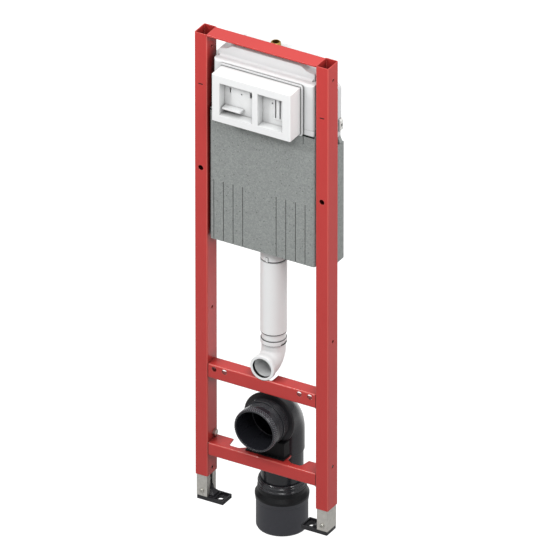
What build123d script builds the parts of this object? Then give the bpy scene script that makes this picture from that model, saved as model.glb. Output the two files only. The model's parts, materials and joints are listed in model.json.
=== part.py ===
from build123d import *
import os

# Narrow steel frame for a wall-hung toilet, with concealed cistern, flush pipe and drain.
# Millimetres, X to the right seen from the front, +Y towards the wall, +Z up.
# Pieces are drawn with Z = 0 under the foot plates and Y = 0 on the front of the posts.
# They are written with the origin on the wall face of the top bar.

# Steel frame
frame_width = 320
frame_height = 1120
post_width = 30
post_depth = 42
post_wall = 2
post_corner = 3
post_end_z = 60
wall_hole_z = 800
wall_hole_r = 6
metre_mark_z = 1000
metre_mark_length = 10
metre_mark_height = 1.5
side_hole_r = 4
side_hole_drop = 36.5
side_hole_z = 460
outer_hole_z = 159
inner_hole_z = 73
sheet = 3
bend_r = 1
bar_setback = 2

# Top bar
top_flange_height = 20

# Bar that the bowl is bolted to
bowl_bar_bottom_z = 299
bowl_bar_height = 34
bowl_bar_depth = 30.5
bowl_hole_z = 323
bowl_hole_spacings = (180, 230)
bowl_hole_r = 6
elbow_notch_half = 22
elbow_notch_corner = 5

# Lower bar under the drain
low_bar_bottom_z = 111
low_bar_height = 31
low_flange_depth = 20
pocket_front_y = 15
pocket_post_gap = 39
pocket_saddle_gap = 2
pocket_slant = 4
pocket_shoulder = 11
pocket_corner = 4
pocket_draft = 1
pipe_clearance = 1

# Telescopic legs and foot plates
leg_clearance = 0.5
leg_wall = 2
leg_slot = 10
leg_length = 250
foot_length = 63
foot_beyond_leg = 12
foot_depth = 38
foot_height = 8.5
foot_floor = 3.5
foot_rim = 3
foot_rib = 2
foot_corner = 1
foot_hole_from_leg = 35
foot_hole_r = 6
foot_boss_r = 9.5
foot_boss_height = 5
foot_pocket_from_leg = 28
gusset_steps = ((33, 2, 2.5), (21, 3.5, 4.5), (13, 12, 12))
foot_neck_width = 8
foot_screw_z = 21
foot_screw_head_r = 5
foot_screw_head = 3
foot_screw_r = 2.5
foot_screw_depth = 16
foot_screw_tip_gap = 1
foot_screw_edge = 1.8
foot_screw_cross = (6, 1.4, 1.5)
clamp_screw_z = 154
clamp_screw_y = 29
clamp_screw_r = 4
clamp_head_across = 13
clamp_head = 5

# Clearances
seat_gap = 0.3

# Tank, its heights measured down from its roof
roof_drop = 24
roof_slope_width = 20
roof_slope_rise = 4.5
roof_edge_width = 13
roof_edge_rise = 8.5
ledge_drop = 28
shoulder_drop = 46
shoulder_corner = 12
ledge_edge = 7
ledge_cove = 6
joint_drop = 136
neck_front_y = 22
neck_inset = 9
tank_wall = 3
tank_edge = 4
tank_front_margin = 1.5
tank_back_margin = 6
tank_left_margin = 7
clip_drop = 5
clip_height = 28
clip_width = 10
clip_reach = 5
clip_back_gap = 2
clip_wall = 2
clip_window = 7

# Insulation shell, its heights measured down from the tank's joint
foam_height = 311
foam_front_drop = 13
foam_side_drop = 46
foam_front_y = 4
foam_back_depth = 30
foam_deep_depth = 46
foam_post_gap = 4.5
foam_side_gap = 4
foam_wall = 7
foam_corner = 5
horn_depth = 10
horn_rise = 14
horn_edge_rise = 2
groove_length = 143
groove_width = 1.4
groove_depth = 2
groove_pitch = 23.1
groove_count = 4
left_groove_gap = 9.5
right_groove_gap = 22.8
notch_gap = 27.5
notch_length = 24

# Service opening with its box
box_drop = 37
box_height = 109
box_margin = 30
box_front_y = -43
box_seat = 3.5
box_wall = 3
box_edge = 3
recess_margin_x = 19
recess_margin_z = 17
divider_left_x = 3
divider_right_x = 16
panel_front_y = -21
panel_thickness = 2.5
rim_gap = 1.6
rim_width = 4
rim_rise = 2.2
rim_base_width = 3.5
rim_corner = 6
lever_gap = 2
lever_width = 44
lever_rise = 16
lever_reach = 16
lever_tip = 4
lever_root = 8
rail_gap = 10.4
rail_width = 21.5
rail_rise = 15
rail_height = 49
rail_raise = 3
rail_slot_pitch = 10.8
rail_slot_width = 3.5
rail_slot_end = 3
slit_rise = 52
rod_slit = (3, 11)
rod_slit_gap = 13.5
bolt_slot = (4.6, 12)
bolt_slot_gap = 15.4
pin_hole_r = 2
pin_hole_gap = 40.5
pin_rail_gap = 4
pin_drop = 3

# Water inlet
inlet_y = 60.5
inlet_r = 10.5
inlet_bore_r = 7.5
inlet_drop = 8
inlet_base_height = 4
inlet_base_across = 22
inlet_lip = 1

# Flush pipe and elbow
pipe_y = 52
flush_z = 358.5
outlet_r = 23
outlet_bore_r = 20.5
outlet_flange_r = 25.5
outlet_socket_r = 28
outlet_reach = 34
outlet_joint_gap = 2.5
lug_width = 5
lug_height = 9
lug_rise = 1.2
pipe_r = 28.3
pipe_wall = 2.2
pipe_bottom_z = 429
pipe_lip = 14
pipe_rim = 2
pipe_insert = 24
elbow_bore_r = 22.5
elbow_bend_r = 31
elbow_front_y = 2.4
mouth_ring_r = 28.6
mouth_ring_depth = 9
mouth_ring_edge = 1
mouth_lip_depth = 1.2
mouth_socket_wall = 1.7
seal_bore_r = 22
seal_wall = 2.6
seal_depth = 6
seal_edge = 0.8
elbow_collars = ((406.5, 9, 2.4), (399.5, 2, 0.8))
elbow_collar_end_x = 24.5

# Drain bend
drain_z = 223
drain_front_y = -30
drain_y = 87
drain_pipe_r = 47.5
drain_bore_r = 43
drain_spigot_r = 45
drain_spigot_top_z = 127
drain_bend_r = 50
socket_bore_r = 44.5
socket_wall = 2.2
socket_bottom_y = 39
rib_rise = 1.2
rib_pitch = 4.6
rib_width = 2.4
rib_slant = 0.4
rib_first_y = -3
rib_last_y = 31
stop_ring_y = 11
stop_ring_rise = 2.8
stop_ring_width = 2
mouth_depth = 23
mouth_wall = 2.2
mouth_lip = 1.7
mouth_edge = 1
mouth_slope_width = 2
mouth_slope_depth = 4
clamp_front_y = 30
clamp_width = 8
clamp_r = 60
clamp_step = 3
clamp_slant = 1
clamp_groove = 1.6
saddle_half = 44
saddle_front_y = 19
saddle_back_gap = 1
saddle_height = 37
saddle_base_height = 3
saddle_base_front_y = 13
saddle_base_margin = 2

# Adapter from the drain pipe to the soil pipe
adapter_bottom_z = -60
adapter_r = 55
adapter_wall = 3.4
adapter_taper_width = 2
adapter_taper_height = 4
adapter_ring_r = 57.5
adapter_ring_z = 6
adapter_ring_height = 14
adapter_ring_lip = 1
adapter_ring_edge = 3
adapter_cone_top_z = 29
adapter_socket_top_z = 38
adapter_socket_r = 52
adapter_floor_z = 20
adapter_floor = 3
collar_top_z = 57
collar_r = 50
collar_bead = 1.5
collar_bead_height = 2.8
collar_bead_slant = 1.8
collar_bead_rises = (0, 9.3)
drain_end_z = 24

# Positions across the frame
post_x = (frame_width - post_width) / 2
post_inner_x = frame_width / 2 - post_width
post_y = post_depth / 2
leg_width = post_width - 2 * post_wall - 2 * leg_clearance
leg_depth = post_depth - 2 * post_wall - 2 * leg_clearance
leg_inner_x = post_x - leg_width / 2
foot_outer_x = post_x + foot_beyond_leg
foot_inner_x = foot_outer_x - foot_length
foot_hole_x = post_x - foot_hole_from_leg
foot_pocket_x = post_x - foot_pocket_from_leg
foam_front_half = post_inner_x - foam_post_gap
foam_back_half = frame_width / 2 - foam_side_gap
tank_front_half = foam_front_half - tank_front_margin
tank_left_half = tank_front_half - tank_left_margin
tank_back_half = foam_back_half - tank_back_margin
neck_half = tank_front_half - neck_inset
box_half = tank_front_half - box_margin
recess_half = box_half - recess_margin_x
rail_right_x = recess_half - rail_gap
rail_x = rail_right_x - rail_width / 2
saddle_base_half = saddle_half + saddle_base_margin
pocket_outer_x = post_inner_x - pocket_post_gap
pocket_inner_x = saddle_base_half + pocket_saddle_gap

# Heights
low_bar_top_z = low_bar_bottom_z + low_bar_height
saddle_top_z = low_bar_top_z + saddle_height
roof_z = frame_height - roof_drop
neck_side_top_z = roof_z - roof_slope_rise - roof_edge_rise
ledge_z = roof_z - ledge_drop
shoulder_top_z = roof_z - shoulder_drop
tank_joint_z = roof_z - joint_drop
foam_front_top_z = tank_joint_z - foam_front_drop
foam_side_top_z = tank_joint_z - foam_side_drop
foam_bottom_z = foam_front_top_z - foam_height
tub_bottom_z = foam_bottom_z + foam_wall
box_top_z = roof_z - box_drop
box_bottom_z = box_top_z - box_height
recess_bottom_z = box_bottom_z + recess_margin_z
recess_top_z = box_top_z - recess_margin_z
rail_bottom_z = recess_bottom_z + rail_rise
rail_top_z = rail_bottom_z + rail_height
slit_z = recess_bottom_z + slit_rise
pipe_top_z = foam_bottom_z - outlet_reach
inlet_top_z = frame_height - inlet_drop
origin_z = frame_height - top_flange_height / 2

# Depths and radii
foam_back_front_y = post_depth + seat_gap
foam_back_y = post_depth + foam_back_depth
foam_deep_y = post_depth + foam_deep_depth
tub_front_y = foam_front_y + foam_wall
tub_step_y = foam_back_front_y + foam_wall
tub_back_y = foam_back_y - foam_wall
tub_deep_y = foam_deep_y - foam_wall
box_back_y = foam_front_y - box_seat
socket_r = socket_bore_r + socket_wall
rib_r = socket_r + rib_rise
elbow_r = pipe_r - pipe_wall - seat_gap
seal_r = seal_bore_r + seal_wall
mouth_socket_r = seal_r + seat_gap + mouth_socket_wall

# Plans of the tank: front, narrow half width, step, wide half width, back, deepest back
tub_front_half = foam_front_half - foam_wall
tub_back_half = foam_back_half - foam_wall
tub_outline = (tub_front_y, tub_front_half, tub_step_y, tub_back_half, tub_back_y, tub_deep_y)
rim_outline = (foam_front_y, tank_front_half, foam_back_front_y, tank_back_half, foam_back_y, foam_deep_y)


def block(x, y, z):
    """Box between two limits on each axis."""
    size = [high - low for low, high in (x, y, z)]
    middle = [(low + high) / 2 for low, high in (x, y, z)]
    return Pos(*middle) * Box(*size)


def rod_x(x, y, z, radius, length):
    return Pos(x, y, z) * Rot(0, 90, 0) * Cylinder(radius, length)


def rod_y(x, y, z, radius, length):
    return Pos(x, y, z) * Rot(90, 0, 0) * Cylinder(radius, length)


def rod_z(x, y, z, radius, length):
    return Pos(x, y, z) * Cylinder(radius, length)


def turned_z(y, points):
    """Solid turned about a vertical axis from (radius, height) points."""
    profile = make_face(Polyline(*points, close=True))
    return Pos(0, y, 0) * revolve(Plane.XZ * profile, Axis.Z)


def turned_y(z, points):
    """Solid turned about a front-to-back axis from (radius, depth) points."""
    profile = make_face(Polyline(*points, close=True))
    return Pos(0, 0, z) * Rot(-90, 0, 0) * revolve(Plane.XZ * profile, Axis.Z)


def pressed_bar(outer_points, inner_points):
    """Bent sheet between two lines of (depth, height) points, run from post to post."""
    outer = FilletPolyline(*outer_points, radius=bend_r + sheet)
    inner = FilletPolyline(*inner_points, radius=bend_r)
    ends = [Line(outer @ 0, inner @ 0), Line(outer @ 1, inner @ 1)]
    section = make_face([*outer.edges(), *inner.edges(), *ends])
    return extrude(Plane.YZ * section, post_inner_x, both=True)


# Steel frame

def post(side):
    outer = RectangleRounded(post_width, post_depth, post_corner)
    inner = RectangleRounded(post_width - 2 * post_wall, post_depth - 2 * post_wall, post_corner - post_wall)
    tube = extrude(outer - inner, frame_height - post_end_z)
    tube = Pos(side * post_x, post_y, post_end_z) * tube
    tube -= rod_y(side * post_x, post_y, wall_hole_z, wall_hole_r, 2 * post_depth)
    mark = (post_x - metre_mark_length / 2, post_x + metre_mark_length / 2)
    mark_z = (metre_mark_z - metre_mark_height / 2, metre_mark_z + metre_mark_height / 2)
    tube -= block(sorted(side * x for x in mark), (-1, post_y), mark_z)
    for height in (frame_height - side_hole_drop, side_hole_z):
        tube -= rod_x(side * post_x, post_y, height, side_hole_r, 2 * post_width)
    tube -= rod_x(side * (post_x + post_width / 2), post_y, outer_hole_z, side_hole_r, post_width)
    tube -= rod_x(side * post_inner_x, post_y, inner_hole_z, side_hole_r, post_width)
    tube -= rod_x(side * post_inner_x, clamp_screw_y, clamp_screw_z, clamp_screw_r + seat_gap, post_width)
    return tube


def top_bar():
    top = frame_height
    low = top - top_flange_height
    back = post_depth
    outer = [(0, top), (back, top), (back, low)]
    inner = [(0, top - sheet), (back - sheet, top - sheet), (back - sheet, low)]
    return pressed_bar(outer, inner)


def channel(bottom, height, top_depth, bottom_depth):
    """U-section bar, web to the front and flanges to the back."""
    top = bottom + height
    front = bar_setback
    web = front + sheet
    top_back = front + top_depth
    bottom_back = front + bottom_depth
    outer = [(top_back, top), (front, top), (front, bottom), (bottom_back, bottom)]
    inner = [(top_back, top - sheet), (web, top - sheet), (web, bottom + sheet), (bottom_back, bottom + sheet)]
    return pressed_bar(outer, inner)


def bowl_bar():
    top = bowl_bar_bottom_z + bowl_bar_height
    bar = channel(bowl_bar_bottom_z, bowl_bar_height, bowl_bar_depth, bowl_bar_depth)
    for spacing in bowl_hole_spacings:
        for side in (-1, 1):
            bar -= rod_y(side * spacing / 2, 0, bowl_hole_z, bowl_hole_r, 3 * (bar_setback + sheet))
    notch = RectangleRounded(2 * elbow_notch_half, 2 * bowl_bar_depth, elbow_notch_corner)
    notch_front = bar_setback + sheet + bend_r
    bar -= Pos(0, notch_front + bowl_bar_depth, top - sheet - bend_r) * extrude(notch, sheet + 2 * bend_r)
    bar -= rod_y(0, bowl_bar_depth / 2, flush_z, mouth_ring_r + seat_gap, 2 * bowl_bar_depth)
    return bar


def low_bar():
    front = bar_setback
    bar = channel(low_bar_bottom_z, low_bar_height, post_depth - front, low_flange_depth)
    back = post_depth + 1
    outline = [(pocket_outer_x, back), (pocket_outer_x - pocket_slant, pocket_front_y + pocket_slant)]
    outline += [(pocket_outer_x - 2 * pocket_slant, pocket_front_y)]
    outline += [(pocket_inner_x + pocket_shoulder + pocket_slant, pocket_front_y)]
    outline += [(pocket_inner_x + pocket_draft, pocket_front_y + pocket_shoulder), (pocket_inner_x, back)]
    pocket = make_face(Polyline(*outline, close=True))
    inner = [v for v in pocket.vertices() if v.Y < back - 1]
    pocket = extrude(fillet(inner, pocket_corner), sheet + 2 * bend_r)
    pocket = Pos(0, 0, low_bar_top_z - sheet - bend_r) * pocket
    bar -= rod_z(0, drain_y, low_bar_top_z, drain_pipe_r + pipe_clearance, 2 * low_bar_height)
    return bar - pocket - mirror(pocket, Plane.YZ)


# Legs

def leg(side):
    outer = Rectangle(leg_width, leg_depth)
    inner = Rectangle(leg_width - 2 * leg_wall, leg_depth - 2 * leg_wall)
    slot = Pos(-side * leg_width / 2, 0) * Rectangle(3 * leg_wall, leg_slot)
    section = outer - inner - slot
    body = Pos(side * post_x, post_y, foot_height) * extrude(section, leg_length)
    body -= rod_y(side * post_x, 0, foot_screw_z, foot_screw_r + seat_gap, post_depth)
    return body


def foot(side):
    """Moulded foot plate, drawn for the right leg and mirrored for the left."""
    y = (post_y - foot_depth / 2, post_y + foot_depth / 2)
    body = block((foot_inner_x, foot_outer_x), y, (0, foot_height))
    body = chamfer(body.edges().filter_by(Axis.Z), foot_corner)
    above = 2 * foot_height
    pocket_x = (foot_inner_x + foot_rim, foot_pocket_x)
    pocket = block(pocket_x, (y[0] + foot_rim, y[1] - foot_rim), (foot_floor, above))
    rib_z = (0, foot_boss_height)
    pocket -= rod_z(foot_hole_x, post_y, foot_boss_height / 2, foot_boss_r, foot_boss_height)
    pocket -= block((foot_inner_x, foot_pocket_x), (post_y - foot_rib / 2, post_y + foot_rib / 2), rib_z)
    pocket -= block((foot_hole_x - foot_rib / 2, foot_hole_x + foot_rib / 2), y, rib_z)
    body -= pocket
    body -= rod_z(foot_hole_x, post_y, 0, foot_hole_r, 4 * foot_height)
    recess_r = foot_boss_r - foot_rib
    body -= rod_z(foot_hole_x, post_y, foot_floor + foot_boss_height / 2, recess_r, foot_boss_height)

    stem_gap = leg_wall + seat_gap
    stem_y = (post_y - leg_depth / 2 + stem_gap, post_y + leg_depth / 2 - stem_gap)
    stem_x = (leg_inner_x + stem_gap, leg_inner_x + leg_width - stem_gap)
    body += block(stem_x, stem_y, (foot_height, gusset_steps[0][0]))
    neck_y = (post_y - foot_neck_width / 2, post_y + foot_neck_width / 2)
    neck_x = (leg_inner_x - leg_wall, leg_inner_x + 2 * leg_wall)
    body += block(neck_x, neck_y, (foot_height, gusset_steps[-1][0]))

    face_x = leg_inner_x - seat_gap
    side_view = [(face_x, gusset_steps[0][0])]
    side_view += [(face_x - reach, height) for height, reach, half in gusset_steps]
    side_view += [(face_x - gusset_steps[-1][1], foot_height), (face_x, foot_height)]
    wedge = extrude(Plane.XZ * make_face(Polyline(*side_view, close=True)), -post_depth)
    right = [(post_y + half, height) for height, reach, half in gusset_steps]
    right += [(post_y + gusset_steps[-1][2], 0)]
    left = [(2 * post_y - y, height) for y, height in reversed(right)]
    tent = extrude(Plane.YZ * make_face(Polyline(*right, *left, close=True)), frame_width)
    body += wedge & tent
    screw_end = foot_screw_depth + post_y - leg_depth / 2
    body -= rod_y(post_x, 0, foot_screw_z, foot_screw_r + seat_gap, 2 * screw_end)
    if side < 0:
        body = mirror(body, Plane.YZ)
    return body


def foot_screw(side):
    """Pan-head screw through the front of the leg into the foot's stem."""
    face = post_y - leg_depth / 2
    length = foot_screw_depth - foot_screw_tip_gap
    shank = rod_y(0, face + length / 2, 0, foot_screw_r, length)
    head = rod_y(0, face - seat_gap - foot_screw_head / 2, 0, foot_screw_head_r, foot_screw_head)
    head = fillet(head.edges().sort_by(Axis.Y)[0], foot_screw_edge)
    reach, width, depth = foot_screw_cross
    for size in ((reach, width), (width, reach)):
        head -= Pos(0, face - seat_gap - foot_screw_head, 0) * Box(size[0], 2 * depth, size[1])
    link = rod_y(0, face - seat_gap / 2, 0, foot_screw_r, 3 * seat_gap)
    body = shank + link + head
    return Pos(side * post_x, 0, foot_screw_z) * body


def clamp_screw(side):
    """Hexagon screw through the inner face of the post, its tip against the leg."""
    tip = leg_inner_x - seat_gap
    head_x = post_inner_x - seat_gap
    body = rod_x(side * (head_x + tip) / 2, 0, 0, clamp_screw_r, tip - head_x)
    hexagon = extrude(Plane.YZ * RegularPolygon(clamp_head_across / 2, 6, major_radius=False), clamp_head)
    body += Pos(side * (head_x - clamp_head / 2) - clamp_head / 2, 0, 0) * hexagon
    return Pos(0, clamp_screw_y, clamp_screw_z) * body


# Insulation

def groove(x, low, length):
    return Pos(x, foam_front_y, low + length / 2) * Box(groove_width, 2 * groove_depth, length)


def grooves():
    """Two groups of upright grooves at the foot of the shell and one short notch at its top."""
    cuts = [groove(foam_front_half - notch_gap, foam_front_top_z - notch_length, 2 * notch_length)]
    for number in range(groove_count):
        step = number * groove_pitch
        for x in (left_groove_gap - foam_front_half + step, foam_front_half - right_groove_gap - step):
            cuts.append(groove(x, foam_bottom_z - groove_length, 2 * groove_length))
    return cuts


def foam_hollow(top):
    """Space inside the foam for the tub and for the outlet below it."""
    hollow = extrude(tank_plan(tub_outline, -seat_gap), top - tub_bottom_z + 1)
    hollow = Pos(0, 0, tub_bottom_z - seat_gap) * hollow
    return hollow + rod_z(0, pipe_y, foam_bottom_z, outlet_r + seat_gap, 4 * foam_wall)


def insulation_front():
    """Front half of the foam shell, open to the back and the top."""
    x = (-foam_front_half, foam_front_half)
    body = block(x, (foam_front_y, foam_back_front_y - seat_gap), (foam_bottom_z, foam_front_top_z))
    corners = body.edges().filter_by(Axis.Z).group_by(Axis.Y)[0]
    body = fillet(corners, foam_corner)
    body -= foam_hollow(foam_front_top_z)
    for cut in grooves():
        body -= cut
    return body


def foam_horn(side):
    """Slanted tip that stands up at each outer back corner of the shell."""
    outer = foam_back_half
    inner = tank_back_half + 2 * seat_gap
    top = foam_side_top_z
    outline = [(outer, top - foam_corner), (outer, top + horn_edge_rise), (inner, top + horn_rise)]
    outline += [(inner, top - foam_corner)]
    back = foam_back_y - foam_corner
    outline = [(side * x, z) for x, z in outline]
    return Pos(0, back, 0) * extrude(Plane.XZ * make_face(Polyline(*outline, close=True)), horn_depth)


def insulation_back():
    """Back half of the foam shell, as wide as the posts and deeper in the middle."""
    wide = (-foam_back_half, foam_back_half)
    narrow = (-foam_front_half, foam_front_half)
    z = (foam_bottom_z, foam_side_top_z)
    body = block(wide, (foam_back_front_y, foam_back_y), z) + block(narrow, (foam_back_front_y, foam_deep_y), z)
    corners = body.edges().filter_by(Axis.Z).group_by(Axis.Y)[-1]
    body = fillet(corners, foam_corner)
    for side in (-1, 1):
        body += foam_horn(side)
    return body - foam_hollow(foam_side_top_z)


# Tank

def tank_plan(outline, inset, left_margin=0):
    """Cross-shaped plan: narrow between the posts, wide behind them, deepest in the middle."""
    front, narrow, step, wide, back, deep = outline
    narrow = narrow - inset
    wide = wide - inset
    right = [(narrow, front + inset), (narrow, step + inset), (wide, step + inset)]
    right += [(wide, back - inset), (narrow, back - inset), (narrow, deep - inset)]
    left = [(-x, y) for x, y in reversed(right)]
    left[-1] = (left_margin - narrow, front + inset)
    left[-2] = (left_margin - narrow, step + inset)
    plan = make_face(Polyline(*right, *left, close=True))
    return fillet(plan.vertices(), tank_edge)


def tank_tub():
    """Lower tank shell inside the foam, with a thick collar that shows above it."""
    height = tank_joint_z - tub_bottom_z
    collar_low = foam_front_top_z + seat_gap
    ear_low = foam_side_top_z + seat_gap
    rim = tank_plan(rim_outline, 0, tank_left_margin)
    ears_depth = foam_back_y - foam_back_front_y
    ears = rim & Pos(0, foam_back_front_y + ears_depth / 2) * Rectangle(2 * frame_width, ears_depth)
    ears -= Rectangle(2 * tank_front_half, 4 * foam_deep_y)
    body = Pos(0, 0, tub_bottom_z) * extrude(tank_plan(tub_outline, 0), height)
    body += Pos(0, 0, collar_low) * extrude(rim, tank_joint_z - collar_low)
    body += Pos(0, 0, ear_low) * extrude(ears, tank_joint_z - ear_low)
    body -= Pos(0, 0, tub_bottom_z + tank_wall) * extrude(tank_plan(tub_outline, tank_wall), height)
    body -= rod_z(0, pipe_y, tub_bottom_z, outlet_r + seat_gap, 4 * tank_wall)
    return body


def hood_form(inset, low):
    """Outer or inner form of the upper tank shell."""
    x = (inset - tank_left_half, tank_front_half - inset)
    bulge = block(x, (foam_front_y + inset, post_depth), (low, ledge_z - inset))
    edges = bulge.edges().filter_by(Axis.Z).group_by(Axis.Y)[0]
    edges += bulge.edges().filter_by(Axis.X).group_by(Axis.Z)[-1].group_by(Axis.Y)[0]
    bulge = fillet(edges, ledge_edge)

    half = neck_half - inset
    side_top = neck_side_top_z - inset
    right = [(half, low), (half, side_top), (half - roof_slope_width, side_top + roof_slope_rise)]
    right += [(half - roof_slope_width - roof_edge_width, roof_z - inset)]
    left = [(-x, z) for x, z in reversed(right)]
    neck = make_face(Polyline(*right, *left, close=True))
    neck = fillet([v for v in neck.vertices() if v.Y > ledge_z], tank_edge)
    neck = Pos(0, neck_front_y + inset, 0) * extrude(Plane.XZ * neck, -(foam_deep_y - neck_front_y - 2 * inset))

    wide = tank_back_half - inset
    step_y = foam_back_front_y + inset
    shoulder = block((-wide, wide), (step_y, foam_back_y - inset), (low, shoulder_top_z - inset))
    ends = shoulder.edges().filter_by(Axis.Y).group_by(Axis.Z)[-1]
    shoulder = fillet(ends, shoulder_corner - inset)
    return bulge + neck + shoulder


def tank_hood():
    """Upper tank shell with the service opening in its front."""
    low = tank_joint_z + seat_gap
    body = hood_form(0, low) - hood_form(tank_wall, low - tank_wall)
    cove_y = (neck_front_y - ledge_cove, neck_front_y + tank_wall / 2)
    cove_half = neck_half - tank_edge
    cove = block((-cove_half, cove_half), cove_y, (ledge_z - tank_wall / 2, ledge_z + ledge_cove))
    body += cove - rod_x(0, neck_front_y - ledge_cove, ledge_z + ledge_cove, ledge_cove, frame_width)
    opening_half = box_half - rim_width - 2 * box_wall
    opening_z = (low + rim_width, box_top_z - 2 * box_wall)
    body -= block((-opening_half, opening_half), (0, neck_front_y - tank_wall), opening_z)
    body -= rod_z(0, inlet_y, roof_z, inlet_bore_r + seat_gap, 4 * tank_wall)
    return body


def tank_clip(side):
    """Spring clip over the joint between the two tank shells."""
    back = foam_back_y - clip_back_gap
    y = (back - clip_width, back)
    clip_z = tank_joint_z - clip_drop
    face = tank_back_half + seat_gap
    body = block((face, face + clip_reach), y, (clip_z - clip_height / 2, clip_z + clip_height / 2))
    body = chamfer(body.edges().filter_by(Axis.Y).group_by(Axis.X)[-1], clip_reach - clip_wall)
    window = (clip_z - clip_window / 2, clip_z + clip_window / 2)
    body -= block((face + clip_wall, face + 2 * clip_reach), (y[0] + clip_wall, y[1] - clip_wall), window)
    if side < 0:
        body = mirror(body, Plane.YZ)
    return body


# Service opening

def rim_outline_at(margin):
    """Rounded outline at one distance round the service box."""
    return RectangleRounded(2 * (box_half + margin), box_height + 2 * margin, rim_corner)


def opening_rim():
    """Frame round the foot of the service box, with a raised strip that overhangs its base."""
    base = rim_outline_at(rim_base_width) - Rectangle(2 * (box_half - box_wall), box_height - 2 * box_wall)
    strip = rim_outline_at(rim_gap + rim_width) - Rectangle(2 * (box_half + rim_gap), box_height + 2 * rim_gap)
    depth = foam_front_y - box_back_y - 2 * seat_gap
    body = extrude(Plane.XZ * base, depth)
    body += Pos(0, -depth, 0) * extrude(Plane.XZ * strip, rim_rise)
    return Pos(0, foam_front_y - seat_gap, (box_top_z + box_bottom_z) / 2) * body


def recesses():
    """X limits of the two recesses in the service box."""
    return ((-recess_half, divider_left_x), (divider_right_x, recess_half))


def service_box():
    """Moulded box with two deep recesses, hollow from the back."""
    z = (box_bottom_z, box_top_z)
    body = block((-box_half, box_half), (box_front_y, box_back_y), z)
    body = fillet(body.edges().filter_by(Axis.Z).group_by(Axis.Y)[0], box_edge)
    hollow = block((-box_half + box_wall, box_half - box_wall), (box_front_y + box_wall, box_back_y + box_wall),
                   (box_bottom_z + box_wall, box_top_z - box_wall))
    for low, high in recesses():
        hollow -= block((low - box_wall, high + box_wall), (box_front_y, panel_front_y),
                        (recess_bottom_z - box_wall, recess_top_z + box_wall))
    body -= hollow
    for x in recesses():
        body -= block(x, (box_front_y - box_wall, panel_front_y + box_wall), (recess_bottom_z, recess_top_z))
    return body


def slot_cut(x, middle_z, width, height):
    """Cut through the panel behind the recesses."""
    return Pos(x, panel_front_y, middle_z) * Box(width, 4 * panel_thickness, height)


def back_panel():
    """Panel behind both recesses, with the slits for the push rods."""
    x = (-recess_half - box_wall, recess_half + box_wall)
    z = (recess_bottom_z - box_wall, recess_top_z + box_wall)
    face = panel_front_y + seat_gap
    body = block(x, (face, face + panel_thickness), z)
    body -= slot_cut(rod_slit_gap - recess_half, slit_z, *rod_slit)
    body -= slot_cut(divider_left_x - bolt_slot_gap, slit_z, *bolt_slot)
    for pin_x in (pin_hole_gap - recess_half, rail_x - rail_width / 2 - pin_rail_gap):
        body -= rod_y(pin_x, panel_front_y, slit_z - pin_drop, pin_hole_r, 4 * panel_thickness)
    for side in (-1, 1):
        body -= rail_slot(side)
    return body


def lever():
    """Flush lever, a tapered tab that stands out of the left recess."""
    root = panel_front_y
    top = recess_bottom_z + lever_rise
    outline = [(root, top), (root, top - lever_root)]
    outline += [(root - lever_reach, top - lever_tip), (root - lever_reach, top)]
    body = extrude(Plane.YZ * make_face(Polyline(*outline, close=True)), lever_width)
    return Pos(lever_gap - recess_half, 0, 0) * body


def rail_slot(side):
    """Long slot through the guide rail and the panel behind it."""
    middle_z = (rail_bottom_z + rail_top_z) / 2
    height = rail_height - 2 * rail_slot_end
    return slot_cut(rail_x + side * rail_slot_pitch / 2, middle_z, rail_slot_width, height)


def guide_rail():
    """Raised guide with two long slots in the right recess."""
    x = (rail_right_x - rail_width, rail_right_x)
    body = block(x, (panel_front_y - rail_raise, panel_front_y), (rail_bottom_z, rail_top_z))
    for side in (-1, 1):
        body -= rail_slot(side)
    return body


# Water inlet and flush pipe

def water_inlet():
    """Brass spigot with a hexagon foot on the tank roof."""
    base = roof_z + seat_gap
    hexagon = RegularPolygon(inlet_base_across / 2, 6, major_radius=False)
    body = Pos(0, 0, base) * extrude(hexagon, inlet_base_height)
    body += Pos(0, 0, (base + inlet_top_z) / 2) * Cylinder(inlet_r, inlet_top_z - base)
    body = chamfer(body.edges().group_by(Axis.Z)[-1], inlet_lip)
    body -= Cylinder(inlet_bore_r, 3 * inlet_top_z)
    return Pos(0, inlet_y, 0) * body


def outlet():
    """Flush outlet through the bottom of the tank and the foam."""
    foot_z = pipe_top_z - pipe_lip
    shoulder_z = pipe_top_z + outlet_joint_gap
    socket_z = foam_bottom_z - seat_gap
    flange_z = tub_bottom_z + tank_wall + seat_gap
    points = [(outlet_bore_r, foot_z), (outlet_r, foot_z), (outlet_r, shoulder_z)]
    points += [(outlet_socket_r, shoulder_z), (outlet_socket_r, socket_z)]
    points += [(outlet_r, socket_z), (outlet_r, flange_z), (outlet_flange_r, flange_z)]
    points += [(outlet_flange_r, flange_z + tank_wall), (outlet_bore_r, flange_z + tank_wall)]
    face_y = pipe_y - outlet_socket_r
    lug_z = (shoulder_z - outlet_joint_gap / 2, shoulder_z + lug_height)
    lug = block((-lug_width / 2, lug_width / 2), (face_y - lug_rise, face_y + 2 * lug_rise), lug_z)
    return turned_z(pipe_y, points) + lug


def flush_pipe():
    """Straight pipe with a lip that closes on the outlet."""
    inner = pipe_r - pipe_wall
    lip = outlet_r + seat_gap
    points = [(inner, pipe_bottom_z), (pipe_r, pipe_bottom_z), (pipe_r, pipe_top_z - pipe_rim)]
    points += [(pipe_r - pipe_rim, pipe_top_z), (lip, pipe_top_z), (lip, pipe_top_z - pipe_lip)]
    points += [(inner, pipe_top_z - pipe_lip - pipe_rim)]
    return turned_z(pipe_y, points)


def pipe_run(radius, start_y, end_y, height, end_z, bend):
    """Round rod along a front-to-back line that turns up or down."""
    path = FilletPolyline((0, start_y, height), (0, end_y, height), (0, end_y, end_z), radius=bend)
    return sweep(Plane(origin=path @ 0, z_dir=path % 0) * Circle(radius), path)


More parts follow.
